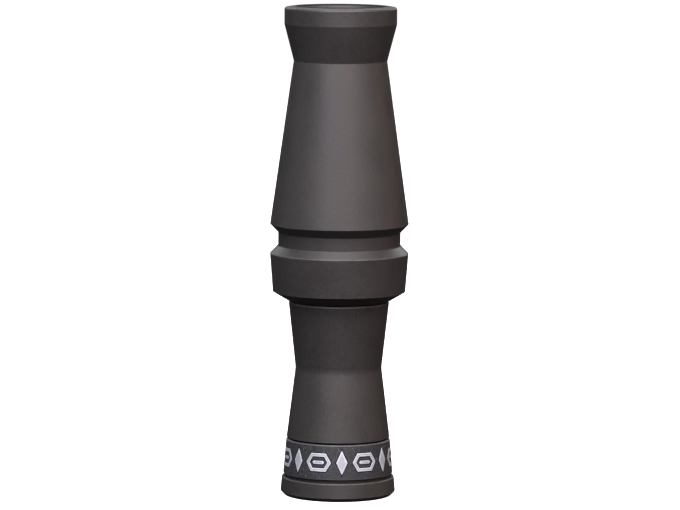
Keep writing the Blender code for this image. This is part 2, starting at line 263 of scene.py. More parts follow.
# Most values of a noise lie between these two
NOISE_LOW = 0.3
NOISE_HIGH = 0.7

GRANULE_SIZE = 0.9 * MM

# Softboxes as (distance, width, height), in metres
WIDE_BOX = (1.0, 0.9, 0.5)
TALL_BOX = (1.0, 0.5, 0.7)
RIM_BOX = (1.2, 0.5, 0.8)
BACK_BOX = (1.4, 0.8, 0.8)
BACK_SIDE_BOX = (1.4, 0.5, 0.8)

# Lights as (name, azimuth, elevation, softbox, power, colour), in degrees and watts
LIGHTS = (
    ("front_low", 0, 20, WIDE_BOX, 4.2, (1.0, 0.93, 1.0)),
    ("front_high", 0, 60, WIDE_BOX, 11.6, (0.98, 1.0, 1.0)),
    ("front_right", 30, 40, TALL_BOX, 8.3, (1.0, 0.76, 0.67)),
    ("front_left", -30, 40, TALL_BOX, 8.8, (0.9, 0.91, 1.0)),
    ("right", 60, 30, TALL_BOX, 2.2, (0.95, 0.97, 1.0)),
    ("left", -60, 30, TALL_BOX, 1.0, (1.0, 0.92, 0.8)),
    ("right_rim", 100, 20, RIM_BOX, 1.5, (1.0, 0.66, 0.45)),
    ("left_rim", -100, 20, RIM_BOX, 0.85, (0.96, 0.97, 1.0)),
    ("back", 180, 52, BACK_BOX, 6.0, (1.0, 1.0, 1.0)),
    ("back_right", 150, 28, BACK_SIDE_BOX, 3.4, (0.98, 0.98, 1.0)),
    ("back_left", -150, 28, BACK_SIDE_BOX, 2.8, (0.98, 0.98, 1.0)),
)
SKY_LIGHT = 0.04
SKY_TO_CAMERA = 1.0

# Camera: in front of the call and above it, looking slightly down
CAMERA_DISTANCE = 1.1639
CAMERA_HEIGHT = 0.1954
CAMERA_AIM = (0.00021, 0.0, 0.0663)
CAMERA_ROLL = math.radians(0.385)
CAMERA_LENS_MM = 225.75
CAMERA_REACH = 100.0

FLOOR_SIZE = 14.0
FLOOR_PARTS = 4
FLOOR_CLOUD_SIZE = 0.4


# ---------------------------------------------------------------- outlines


def arc(centre, radius, first, last, steps):
    """Points on an arc. Angles are in degrees, from the radial direction towards +Z."""
    points = []
    for step in range(steps + 1):
        angle = math.radians(first + (last - first) * step / steps)
        points.append((centre[0] + radius * math.cos(angle), centre[1] + radius * math.sin(angle)))
    return points


def fillet(before, corner, after, radius):
    """Points that round the corner between its two neighbours with the given radius."""
    corner = Vector(corner)
    to_before = (Vector(before) - corner).normalized()
    to_after = (Vector(after) - corner).normalized()
    half_angle = to_before.angle(to_after) / 2
    centre = corner + (to_before + to_after).normalized() * radius / math.sin(half_angle)
    first = corner + to_before * radius / math.tan(half_angle) - centre
    last = corner + to_after * radius / math.tan(half_angle) - centre
    first_angle = math.degrees(math.atan2(first.y, first.x))
    last_angle = math.degrees(math.atan2(last.y, last.x))
    turn = (last_angle - first_angle + 180) % 360 - 180
    return arc(centre, radius, first_angle, first_angle + turn, FILLET_STEPS)


def edge_wear_and_light(before, corner, after, rounding):
    """Wear with a painted highlight on an outer edge, painted shade in an inner one, and none on a sharp or
    a wide corner.
    """
    if rounding == 0 or rounding > WIDEST_PAINTED_EDGE:
        return 0.0
    to_before = Vector(before) - Vector(corner)
    to_after = Vector(after) - Vector(corner)
    return WORN_AND_HIGHLIT if to_before.cross(to_after) > 0 else PAINTED_SHADE


def rounded(corners):
    """A closed outline of (radius, height, wear and painted light) from corners (radius, height, rounding).
    A fourth value in a corner replaces the wear and painted light that its shape would give."""
    points = []
    for index, (radius, height, rounding, *given) in enumerate(corners):
        corner = (radius, height)
        before = corners[index - 1][:2]
        after = corners[(index + 1) % len(corners)][:2]
        wear_and_light = given[0] if given else edge_wear_and_light(before, corner, after, rounding)
        places = fillet(before, corner, after, rounding) if rounding else [corner]
        points += [(*place, wear_and_light) for place in places]
    return points


def densified(points):
    """The outline with support points beside its corners and no long straight stretch. A
    stretch between two corners in painted shade is in painted shade all along."""
    dense = []
    for index, point in enumerate(points):
        following = points[(index + 1) % len(points)]
        dense.append(point)
        here = Vector(point[:2])
        step = Vector(following[:2]) - here
        length = step.length
        if length < 4 * SUPPORT:
            continue
        direction = step / length
        wear_and_light = PAINTED_SHADE if point[2] == following[2] == PAINTED_SHADE else 0.0
        dense.append((*(here + direction * SUPPORT), wear_and_light))
        inner = length - 2 * SUPPORT
        parts = max(1, math.ceil(inner / SPACING))
        for part in range(1, parts):
            dense.append((*(here + direction * (SUPPORT + inner * part / parts)), wear_and_light))
        dense.append((*(here + direction * (length - SUPPORT)), wear_and_light))
    return dense


# ---------------------------------------------------------------- mesh tools


def add_object(name, shape):
    """A new object from a bmesh, shaded smooth between faces that meet at a blunt angle."""
    mesh = bpy.data.meshes.new(name)
    shape.to_mesh(mesh)
    shape.free()
    mesh.shade_smooth()
    mesh.set_sharp_from_angle(angle=SHARP_ANGLE)
    piece = bpy.data.objects.new(name, mesh)
    bpy.context.scene.collection.objects.link(piece)
    return piece


def lathe(name, outline, steps=TURN_STEPS):
    """A solid turned about Z from a closed outline, with its wear and painted light kept at every point."""
    shape = bmesh.new()
    wear_and_light = shape.verts.layers.float.new("wear_and_light")
    rings = []
    for step in range(steps):
        angle = math.tau * step / steps
        ring = []
        for radius, height, amount in outline:
            vert = shape.verts.new((radius * math.cos(angle), radius * math.sin(angle), height))
            vert[wear_and_light] = amount
            ring.append(vert)
        rings.append(ring)
    for step, here in enumerate(rings):
        there = rings[(step + 1) % steps]
        for index in range(len(outline)):
            following = (index + 1) % len(outline)
            if outline[index][0] > 0 or outline[following][0] > 0:
                shape.faces.new((here[index], here[following], there[following], there[index]))
    bmesh.ops.remove_doubles(shape, verts=shape.verts, dist=MERGE_DISTANCE)
    return add_object(name, shape)


def prism(name, outline, low, high, placement):
    """A closed outline in the local XY plane, thickened from low to high along local Z."""
    shape = bmesh.new()
    lower = [shape.verts.new((x, y, low)) for x, y in outline]
    upper = [shape.verts.new((x, y, high)) for x, y in outline]
    shape.faces.new(lower)
    shape.faces.new(upper)
    for index in range(len(outline)):
        following = (index + 1) % len(outline)
        shape.faces.new((lower[index], lower[following], upper[following], upper[index]))
    bmesh.ops.recalc_face_normals(shape, faces=shape.faces)
    bmesh.ops.transform(shape, matrix=placement, verts=shape.verts)
    return add_object(name, shape)


def cut(piece, cutter):
    """Cut the cutter's shape out of the piece, and remove the cutter."""
    boolean = piece.modifiers.new("cut", "BOOLEAN")
    boolean.operation = "DIFFERENCE"
    boolean.solver = "EXACT"
    boolean.object = cutter
    bpy.context.view_layer.update()
    depsgraph = bpy.context.evaluated_depsgraph_get()
    mesh = bpy.data.meshes.new_from_object(piece.evaluated_get(depsgraph))
    piece.modifiers.clear()
    piece.data = mesh
    mesh.shade_smooth()
    mesh.set_sharp_from_angle(angle=SHARP_ANGLE)
    bpy.data.objects.remove(cutter)


def place(piece, body, slot, material, *nodes):
    """Give the piece its material and its body, and hide the CAD nodes that it stands for. The slot is
    not used. A piece that is to blend between two bodies has no body of its own."""
    piece.data.materials.clear()
    piece.data.materials.append(material)
    if body:
        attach(piece, body)
    if nodes:
        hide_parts(*nodes)


# ---------------------------------------------------------------- turned pieces


def barrel():
    """The upper tube: lip, cone, groove and collar outside, and socket, bore and bowl inside."""
    bowl_centre = (BORE_TOP_R, BARREL_HIGH.z - BOWL_TOP_DEPTH)
    bowl = arc(bowl_centre, MOUTH_R - BORE_TOP_R, -90, 0, BOWL_STEPS)
    mouth_line_r = MOUTH_R + MOUTH_BEVEL * (1 - MOUTH_LINE)
    mouth_line_z = BARREL_HIGH.z - MOUTH_BEVEL_DEPTH * MOUTH_LINE
    corners = [
        # The rim's edges carry a little wear and a painted highlight
        (CROWN_R, BARREL_HIGH.z, BROAD_ROUND, RIM_WEAR_AND_HIGHLIGHT),
        (LIP_R, LIP_TOP_Z, LIP_ROUND, RIM_WEAR_AND_HIGHLIGHT),
        (LIP_R, LIP_BOTTOM_Z, BROAD_ROUND, 0.0),
        (NECK_R, NECK_Z, MEDIUM_ROUND),
        (BARREL_HIGH.x, CONE_BOTTOM_Z, FOOT_ROUND),
        (GROOVE_R, GROOVE_TOP_Z, SMALL_ROUND),
        (GROOVE_R, (GROOVE_TOP_Z + GROOVE_BOTTOM_Z) / 2, 0),
        (GROOVE_R, GROOVE_BOTTOM_Z, SMALL_ROUND),
        (COLLAR_TOP_R, COLLAR_TOP_Z, BROAD_ROUND),
        (COLLAR_BOTTOM_R, COLLAR_BOTTOM_Z, SMALL_ROUND),
        (BARREL_FOOT_R, BARREL_LOW.z, FOOT_ROUND),
        (BARREL_SOCKET_R + GAP, BARREL_LOW.z, 0),
        (BARREL_SOCKET_R, BARREL_LOW.z + GAP, 0),
        (BARREL_SOCKET_R, BARREL_SOCKET_TOP_Z, MEDIUM_ROUND),
        (BORE_BOTTOM_R, BORE_BOTTOM_Z, MEDIUM_ROUND),
        *[(radius, height, 0) for radius, height in bowl],
        # The upper share of the mouth's inner bevel is painted shade
        (MOUTH_R, BARREL_HIGH.z - MOUTH_BEVEL_DEPTH, CRISP_ROUND, 0.0),
        (mouth_line_r, mouth_line_z, 0, PAINTED_SHADE),
        (MOUTH_R + MOUTH_BEVEL, BARREL_HIGH.z, CRISP_ROUND, PAINTED_SHADE),
    ]
    return lathe("barrel_shell", densified(rounded(corners)))


def exhaust_flare():
    """Corners of the bell inside the exhaust end, from its mouth up to the straight bore."""
    points = []
    for step in range(EXHAUST_FLARE_STEPS + 1):
        share = step / EXHAUST_FLARE_STEPS
        widening = (1 - share) ** 2
        radius = EXHAUST_BORE_R + (EXHAUST_MOUTH_R - EXHAUST_BORE_R) * widening
        points.append((radius, INSERT_LOW.z + EXHAUST_FLARE_LENGTH * share, 0))
    return points


def insert_body():
    """The waisted lower body, with a spigot for the band and the end ring below its foot."""
    foot_r = INSERT_HIGH.x
    shoulder_z = BAND_HIGH.z + GAP
    corners = [
        (INSERT_TOP_R, INSERT_HIGH.z, INSERT_TOP_ROUND),
        (WAIST_R, WAIST_Z, WAIST_ROUND),
        (foot_r, shoulder_z + FOOT_RELIEF_HEIGHT, KEEN_ROUND),
        # The relief under the foot and the spigot are painted shade, dark in the joint over the band
        (FOOT_RELIEF_R, shoulder_z, 0, PAINTED_SHADE),
        (SPIGOT_R, shoulder_z, 0, PAINTED_SHADE),
        (SPIGOT_R, INSERT_LOW.z, MEDIUM_ROUND),
        *exhaust_flare(),
        (EXHAUST_BORE_R, SOCKET_FLOOR_Z, 0),
        (BOARD_SPIGOT_R + GAP, SOCKET_FLOOR_Z, 0),
        (BOARD_SPIGOT_R + GAP, INSERT_HIGH.z, CRISP_ROUND),
    ]
    return lathe("insert_shell", densified(rounded(corners)))


def end_ring():
    inner_r = SPIGOT_R + GAP
    corners = [
        (RING_NECK_R, RING_HIGH.z, 0),
        (RING_NECK_R, RING_SHOULDER_Z, 0),
        (RING_EDGE_R, RING_SHOULDER_Z, SOFT_ROUND),
        (RING_HIGH.x, RING_FOOT_BEVEL, MEDIUM_ROUND),
        (RING_FOOT_R, RING_LOW.z, FOOT_ROUND),
        (inner_r + GAP, RING_LOW.z, CRISP_ROUND),
        (inner_r, RING_LOW.z + GAP, 0),
        (inner_r, RING_HIGH.z, 0),
    ]
    return lathe("end_ring_lip", densified(rounded(corners)))


def band():
    inner_r = SPIGOT_R + GAP
    corners = [
        (BAND_TOP_R - BAND_BEVEL, BAND_HIGH.z, KEEN_ROUND),
        (BAND_TOP_R, BAND_HIGH.z - BAND_BEVEL, KEEN_ROUND),
        (BAND_HIGH.x, BAND_LOW.z, CRISP_ROUND),
        (inner_r, BAND_LOW.z, 0),
        # The band's inner top, by the joint under the insert, is painted shade
        (inner_r, BAND_HIGH.z, 0, PAINTED_SHADE),
        (BAND_TOP_R - 2 * BAND_BEVEL, BAND_HIGH.z, 0, PAINTED_SHADE),
    ]
    return lathe("band_sleeve", densified(rounded(corners)))


def o_ring(node):
    low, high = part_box(node)
    centre = (high.x - SEAL_SECTION_INSET, (low.z + high.z) / 2)
    section = arc(centre, SEAL_SECTION_R, 90, -270, SEAL_SECTION_STEPS)[:-1]
    return lathe(node + "_seal", [(*point, 0.0) for point in section])


# ---------------------------------------------------------------- marks on the band


def inset(outline, distance):
    """A convex outline moved inwards by a distance, or outwards by a negative one."""
    moved = []
    for index, point in enumerate(outline):
        corner = Vector(point)
        to_before = (Vector(outline[index - 1]) - corner).normalized()
        to_after = (Vector(outline[(index + 1) % len(outline)]) - corner).normalized()
        half_angle = to_before.angle(to_after) / 2
        inward = (to_before + to_after).normalized()
        moved.append(tuple(corner + inward * distance / math.sin(half_angle)))
    return moved


def scaled(outline, share):
    return [(x * share, y * share) for x, y in outline]


def fine(outline):
    """The outline with every edge divided, so that it can follow the round band."""
    points = []
    for index, point in enumerate(outline):
        following = outline[(index + 1) % len(outline)]
        for step in range(MARK_EDGE_STEPS):
            points.append(tuple(Vector(point).lerp(Vector(following), step / MARK_EDGE_STEPS)))
    return points


def hexagon(width, height, nose):
    half_width = width / 2
    half_height = height / 2
    return [
        (-half_width, 0.0),
        (nose - half_width, -half_height),
        (half_width - nose, -half_height),
        (half_width, 0.0),
        (half_width - nose, half_height),
        (nose - half_width, half_height),
    ]


def diamond(width, height):
    return [(-width / 2, 0.0), (0.0, -height / 2), (width / 2, 0.0), (0.0, height / 2)]


def open_mark(outline, stroke):
    """Loops (outline, lift, wear and painted light) round the section of a closed line: a dished top
    between two edges with a painted highlight, and a ring of painted shadow on either side."""
    crest = stroke * MARK_CREST
    shadow_ring = inset(outline, -SHADOW_RING_WIDTH)
    inner = inset(outline, stroke)
    inner_shadow_ring = inset(outline, stroke + SHADOW_RING_WIDTH)
    return [
        (shadow_ring, -MARK_DEPTH, PAINTED_SHADE),
        (shadow_ring, SHADOW_RING_LIFT, PAINTED_SHADE),
        (outline, SHADOW_RING_LIFT, PAINTED_SHADE),
        (outline, MARK_EDGE_LIFT, WORN_AND_HIGHLIT),
        (inset(outline, MARK_BEVEL), MARK_LIFT, WORN_AND_HIGHLIT),
        (inset(outline, crest), MARK_DISHED_LIFT, 0.0),
        (inset(outline, stroke - crest), MARK_DISHED_LIFT, 0.0),
        (inset(outline, stroke - MARK_BEVEL), MARK_LIFT, WORN_AND_HIGHLIT),
        (inner, MARK_EDGE_LIFT, WORN_AND_HIGHLIT),
        (inner, SHADOW_RING_LIFT, PAINTED_SHADE),
        (inner_shadow_ring, SHADOW_RING_LIFT, PAINTED_SHADE),
        (inner_shadow_ring, -MARK_DEPTH, PAINTED_SHADE),
        (shadow_ring, -MARK_DEPTH, PAINTED_SHADE),
    ]


def solid_mark(outline):
    """Loops (outline, lift, wear and painted light) over a filled shape, from the middle of its dished
    top, over its edge with a painted highlight and the ring of painted shadow round it, to the
    middle of its underside."""
    top = inset(outline, MARK_BEVEL)
    shadow_ring = inset(outline, -SHADOW_RING_WIDTH)
    loops = [(scaled(top, share), MARK_DISHED_LIFT, 0.0) for share in MARK_FILL_SHARES]
    loops += [
        (top, MARK_LIFT, WORN_AND_HIGHLIT),
        (outline, MARK_EDGE_LIFT, WORN_AND_HIGHLIT),
        (outline, SHADOW_RING_LIFT, PAINTED_SHADE),
        (shadow_ring, SHADOW_RING_LIFT, PAINTED_SHADE),
        (shadow_ring, -MARK_DEPTH, PAINTED_SHADE),
    ]
    loops += [(scaled(shadow_ring, share), -MARK_DEPTH, 0.0) for share in reversed(MARK_FILL_SHARES)]
    return loops


def wrap_mark(shape, loops, angle, height, filled):
    """Lay the loops on the band's cone, centred at the given angle and height. A filled mark
    has its first and last loop closed."""
    rows = []
    wear_and_light = shape.verts.layers.float["wear_and_light"]
    slope = (BAND_TOP_R - BAND_HIGH.x) / (BAND_HIGH.z - BAND_LOW.z)
    for outline, lift, amount in loops:
        row = []
        for across, along in fine(outline):
            z = height + along
            radius = BAND_HIGH.x + slope * (z - BAND_LOW.z) + lift
            turn = angle + across / BAND_HIGH.x
            vert = shape.verts.new((radius * math.cos(turn), radius * math.sin(turn), z))
            vert[wear_and_light] = amount
            row.append(vert)
        rows.append(row)
    for inner, outer in zip(rows, rows[1:]):
        for index in range(len(inner)):
            following = (index + 1) % len(inner)
            shape.faces.new((inner[index], inner[following], outer[following], outer[index]))
    if filled:
        shape.faces.new(rows[0])
        shape.faces.new(rows[-1])


def band_marks():
    """All marks as one piece: each hexagon has a bar in its middle, and stands between two
    diamonds."""
    shape = bmesh.new()
    shape.verts.layers.float.new("wear_and_light")
    outer = hexagon(HEXAGON_WIDTH, MARK_HEIGHT, HEXAGON_NOSE)
    bar_width = HEXAGON_WIDTH - 2 * HEXAGON_NOSE - 2 * HEXAGON_STROKE
    bar = hexagon(bar_width + HEXAGON_BAR, HEXAGON_BAR, HEXAGON_BAR / 2)
    between = diamond(DIAMOND_WIDTH, DIAMOND_HEIGHT)
    middle = (BAND_LOW.z + BAND_HIGH.z) / 2
    for pair in range(MARK_PAIRS):
        angle = MARK_TURN - math.pi / 2 + math.tau * pair / MARK_PAIRS
        wrap_mark(shape, solid_mark(between), angle, middle, True)
        angle += math.pi / MARK_PAIRS
        wrap_mark(shape, open_mark(outer, HEXAGON_STROKE), angle, middle, False)
        wrap_mark(shape, solid_mark(bar), angle, middle, True)
    bmesh.ops.remove_doubles(shape, verts=shape.verts, dist=MERGE_DISTANCE)
    bmesh.ops.recalc_face_normals(shape, faces=shape.faces)
    return add_object("band_marks", shape)


# ---------------------------------------------------------------- tone board


def side_view():
    """Placement of an outline drawn as (height along the call, rise), thickened along X."""
    return Matrix(((0, 0, 1, 0), (0, -1, 0, 0), (1, 0, 0, 0), (0, 0, 0, 1)))


def board_outline():
    """The turned blank: a long round board, the tenon with its two glands, and the spigot."""
    corners = [
        (0.0, BOARD_HIGH.z, 0),
        (BOARD_R - BOARD_TIP_BEVEL, BOARD_HIGH.z, MEDIUM_ROUND),
        (BOARD_R, BOARD_HIGH.z - BOARD_TIP_BEVEL, MEDIUM_ROUND),
        (BOARD_R, MORTISE_Z, SMALL_ROUND),
        (TENON_R - TENON_BEVEL, MORTISE_Z, SMALL_ROUND),
        (TENON_R, MORTISE_Z - TENON_BEVEL, SMALL_ROUND),
    ]
    for middle in GLAND_HEIGHTS:
        top = middle + GLAND_HEIGHT / 2
        bottom = middle - GLAND_HEIGHT / 2
        corners += [
            (TENON_R, top, GLAND_ROUND),
            (GLAND_R, top, GLAND_ROUND),
            (GLAND_R, bottom, GLAND_ROUND),
            (TENON_R, bottom, GLAND_ROUND),
        ]
    corners += [
        (TENON_R, BARREL_LOW.z, CRISP_ROUND),
        (BOARD_SPIGOT_R, BARREL_LOW.z, 0),
        (BOARD_SPIGOT_R, BOARD_LOW.z, CRISP_ROUND),
        (EXHAUST_BORE_R, BOARD_LOW.z, 0),
        (EXHAUST_BORE_R, BOARD_BORE_TOP_Z, 0),
        (0.0, BOARD_BORE_TOP_Z, 0),
    ]
    return rounded(corners)


def face_cutter():
    """All that lies in front of the board's face, which curves away from the reeds to the tip."""
    start_z = MORTISE_Z + GAP
    end_z = BOARD_HIGH.z + TENON_R
    outline = []
    for step in range(FACE_STEPS + 1):
        along = (end_z - start_z) * step / FACE_STEPS
        fall = along ** 2 / (2 * FACE_CURVE_R)
        outline.append((start_z + along, MORTISE_FLOOR_RISE - FACE_DROP - fall))
    outline += [(end_z, TENON_R), (start_z, TENON_R)]
    return prism("face_cutter", outline, -TENON_R, TENON_R, side_view())


def mortise_cutter():
    """The slot in the tenon that holds the reeds' tails and the wedge."""
    front_z = MORTISE_Z + GAP + CUT_CLEARANCE
    outline = [
        (MORTISE_BACK_Z, MORTISE_FLOOR_RISE),
        (front_z, MORTISE_FLOOR_RISE),
        (front_z, MORTISE_ROOF_RISE),
        (MORTISE_BACK_Z, MORTISE_ROOF_RISE),
    ]
    return prism("mortise_cutter", outline, -MORTISE_WIDTH / 2, MORTISE_WIDTH / 2, side_view())


def hole_cutter():
    """The tone hole, from the start of the channel down to the exhaust bore."""
    outline = arc((0.0, 0.0), TONE_HOLE_R, 0, 360, TONE_HOLE_STEPS)[:-1]
    placement = Matrix.Translation((0.0, -TONE_HOLE_RISE, 0.0))
    low = BOARD_BORE_TOP_Z - TONE_HOLE_OVERLAP
    return prism("hole_cutter", outline, low, MORTISE_Z + CUT_CLEARANCE, placement)


def channel_cutter():
    """The round-bottomed tone channel, which runs out to the face towards the tip."""
    half_width = CHANNEL_WIDTH / 2
    outline = arc((0.0, 0.0), half_width, 180, 360, CHANNEL_STEPS)
    outline += [(half_width, CHANNEL_WALL_RISE), (-half_width, CHANNEL_WALL_RISE)]
    start = Matrix.Translation((0.0, -TONE_HOLE_RISE, MORTISE_Z))
    tilt = Matrix.Rotation(CHANNEL_TILT + math.pi, 4, "X")
    return prism("channel_cutter", outline, -CHANNEL_LENGTH, CUT_CLEARANCE, start @ tilt)


def tone_board():
    piece = lathe("tone_board_milled", board_outline(), BOARD_TURN_STEPS)
    for cutter in (face_cutter, mortise_cutter, hole_cutter, channel_cutter):
        cut(piece, cutter())
    return piece


# ---------------------------------------------------------------- reeds and wedge


def reed_sheet(shape, low, high, side_y, dimple_depth):
    """One side of the film, at Y = side_y: rows of points from its tail to its rounded tip."""
    dimple_z = high.z - DIMPLE_FROM_TIP
    sheet = []
    for row in range(REED_ROWS + 1):
        z = low.z + (high.z - low.z) * row / REED_ROWS
        into_corner = max(0.0, z - (high.z - REED_CORNER))
        reach = high.x - REED_CORNER + math.sqrt(max(0.0, REED_CORNER ** 2 - into_corner ** 2))
        line = []
        for column in range(REED_COLUMNS + 1):
            x = reach * (2 * column / REED_COLUMNS - 1)
            distance = math.hypot(x, z - dimple_z) / DIMPLE_R
            dent = dimple_depth * math.cos(math.pi / 2 * distance) ** 2 if distance < 1 else 0.0
            line.append(shape.verts.new((x, side_y + dent, z)))
        sheet.append(line)
    return sheet


def reed_rim():
    """The row and column of each point round the edge of a sheet, in order."""
    rim = [(0, column) for column in range(REED_COLUMNS + 1)]
    rim += [(row, REED_COLUMNS) for row in range(1, REED_ROWS + 1)]
    rim += [(REED_ROWS, column) for column in range(REED_COLUMNS - 1, -1, -1)]
    rim += [(row, 0) for row in range(REED_ROWS - 1, 0, -1)]
    return rim


def reed(node, dimple_depth):
    """A thin film with rounded tip corners, made of two fine sheets so that it can bend."""
    low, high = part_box(node)
    shape = bmesh.new()
    near = reed_sheet(shape, low, high, low.y, dimple_depth)
    far = reed_sheet(shape, low, high, high.y, dimple_depth)
    for sheet in (near, far):
        for here, there in zip(sheet, sheet[1:]):
            for column in range(REED_COLUMNS):
                following = column + 1
                shape.faces.new((here[column], here[following], there[following], there[column]))
    rim = reed_rim()
    for (row, column), (next_row, next_column) in zip(rim, rim[1:] + rim[:1]):
        near_edge = (near[row][column], near[next_row][next_column])
        far_edge = (far[next_row][next_column], far[row][column])
        shape.faces.new(near_edge + far_edge)
    bmesh.ops.recalc_face_normals(shape, faces=shape.faces)
    return add_object(node + "_film", shape)


def wedge():
    """The cork block, thinner at its lower end, with slightly rounded edges."""
    low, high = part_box("wedge")
    outline = [
        (high.z, -high.y),
        (high.z, -low.y),
        (low.z, -low.y),
        (low.z, WEDGE_TAPER - high.y),
    ]
    piece = prism("wedge_block", outline, low.x, high.x, side_view())
    shape = bmesh.new()
    shape.from_mesh(piece.data)
    bmesh.ops.bevel(
        shape,
        geom=shape.edges,
        offset=WEDGE_ROUND,
        segments=WEDGE_ROUND_STEPS,
        profile=0.5,
        affect="EDGES",
    )
    shape.to_mesh(piece.data)
    shape.free()
    return piece


# ---------------------------------------------------------------- materials


class Nodes:
    """A material's node tree, with short calls for the nodes that the materials share."""

    def __init__(self, name):
        self.material = bpy.data.materials.new(name)
        self.material.use_nodes = True
        self.tree = self.material.node_tree
        self.shader = self.tree.nodes["Principled BSDF"]
        self.coordinates = self.tree.nodes.new("ShaderNodeTexCoord").outputs["Object"]

    def link(self, output, socket):
        self.tree.links.new(output, socket)

    def noise(self, size, detail, roughness=0.5, stretch=(1.0, 1.0, 1.0)):
        """Noise from 0 to 1 whose features are about size metres across."""
        mapping = self.tree.nodes.new("ShaderNodeMapping")
        mapping.inputs["Scale"].default_value = stretch
        self.link(self.coordinates, mapping.inputs["Vector"])
        texture = self.tree.nodes.new("ShaderNodeTexNoise")
        texture.inputs["Scale"].default_value = 1 / size
        texture.inputs["Detail"].default_value = detail
        texture.inputs["Roughness"].default_value = roughness
        self.link(mapping.outputs["Vector"], texture.inputs["Vector"])
        return texture.outputs["Fac"]

    def cells(self, size, feature):
        """A Voronoi node whose cells are about size metres across."""
        texture = self.tree.nodes.new("ShaderNodeTexVoronoi")
        texture.feature = feature
        texture.inputs["Scale"].default_value = 1 / size
        self.link(self.coordinates, texture.inputs["Vector"])
        return texture

    def ramp(self, value, start, end, low=NOISE_LOW, high=NOISE_HIGH):
        """The value mapped from low..high to start..end, and held at the ends."""
        node = self.tree.nodes.new("ShaderNodeMapRange")
        node.inputs["From Min"].default_value = low
        node.inputs["From Max"].default_value = high
        node.inputs["To Min"].default_value = start
        node.inputs["To Max"].default_value = end
        self.link(value, node.inputs["Value"])
        return node.outputs["Result"]

    # Each point's wear and painted light: a painted highlight on outer edges, painted shade in creases
    def wear_and_light(self):
        node = self.tree.nodes.new("ShaderNodeAttribute")
        node.attribute_name = "wear_and_light"
        return node.outputs["Fac"]

    def wear_and_highlight(self, most):
        """From 0 on a plain surface to most on a worn edge, which is also a painted highlight."""
        return self.ramp(self.wear_and_light(), 0.0, most, low=0.0, high=WORN_AND_HIGHLIT)

    def shade_share(self, most):
        """From 0 on a plain surface to most in a crease, where shade is painted."""
        return self.ramp(self.wear_and_light(), most, 0.0, low=PAINTED_SHADE, high=0.0)

    def math(self, operation, first, second):
        node = self.tree.nodes.new("ShaderNodeMath")
        node.operation = operation
        for socket, value in zip(node.inputs, (first, second)):
            if isinstance(value, (int, float)):
                socket.default_value = value
            else:
                self.link(value, socket)
        return node.outputs["Value"]

    def mix(self, share, first, second):
        """A colour between two colours, each a socket or three numbers."""
        node = self.tree.nodes.new("ShaderNodeMix")
        node.data_type = "RGBA"
        self.link(share, node.inputs["Factor"])
        for socket, colour in ((node.inputs["A"], first), (node.inputs["B"], second)):
            if isinstance(colour, tuple):
                socket.default_value = (*colour, 1.0)
            else:
                self.link(colour, socket)
        return node.outputs["Result"]

    def set(self, **values):
        for name, value in values.items():
            self.shader.inputs[name.replace("_", " ")].default_value = value

    def finish(self, colour, roughness, relief, depth):
        """The material, with its colour, its roughness and a bump whose full swing is depth
        metres."""
        self.link(colour, self.shader.inputs["Base Color"])
        self.link(roughness, self.shader.inputs["Roughness"])
        bump = self.tree.nodes.new("ShaderNodeBump")
        bump.inputs["Distance"].default_value = depth
        self.link(relief, bump.inputs["Height"])
        self.link(bump.outputs["Normal"], self.shader.inputs["Normal"])
        return self.material


def blasted_charcoal():
    """Dark acrylic, bead blasted: an even satin with fine pits, faint turning, worn edges lightened as
    wear and a painted highlight, and dull creases painted dark as shade."""
    nodes = Nodes("blasted_charcoal")
    cloud = nodes.noise(9 * MM, detail=3.0)
    grain = nodes.noise(0.16 * MM, detail=2.0, roughness=0.6)
    pits = nodes.noise(0.42 * MM, detail=1.0)
    rings = nodes.noise(0.35 * MM, detail=2.0, stretch=ROUND_THE_CALL)
    patches = nodes.noise(1.2 * MM, detail=4.0)
    body = nodes.mix(nodes.ramp(cloud, 0.0, 1.0), CHARCOAL_DARK, CHARCOAL_LIGHT)
    body = nodes.mix(nodes.ramp(grain, 0.0, 0.35, low=0.62, high=0.8), body, CHARCOAL_SPECK)
    broken = nodes.ramp(patches, 0.25, 1.0, low=0.35, high=0.65)
    # Worn outer edges lightened: wear, and a painted highlight where the edges catch the light
    body = nodes.mix(nodes.math("MULTIPLY", nodes.wear_and_highlight(0.6), broken), body, CHARCOAL_WORN_HIGHLIGHT)
    # Creases and joints painted dark as shade, and made duller
    shade_mask = nodes.shade_share(0.8)
    body = nodes.mix(shade_mask, body, CHARCOAL_PAINTED_SHADE)
    body = nodes.mix(nodes.ramp(pits, 0.0, 0.18, low=0.4), body, CHARCOAL_SPECK)
    satin = nodes.math("ADD", nodes.ramp(cloud, 0.44, 0.5), nodes.ramp(pits, -0.04, 0.04))
    roughness = nodes.math("ADD", satin, nodes.math("MULTIPLY", shade_mask, 0.7))
    relief = nodes.math("ADD", grain, nodes.math("MULTIPLY", rings, 0.6))
    relief = nodes.math("ADD", relief, nodes.math("MULTIPLY", pits, 1.4))
    return nodes.finish(body, roughness, relief, 0.014 * MM)


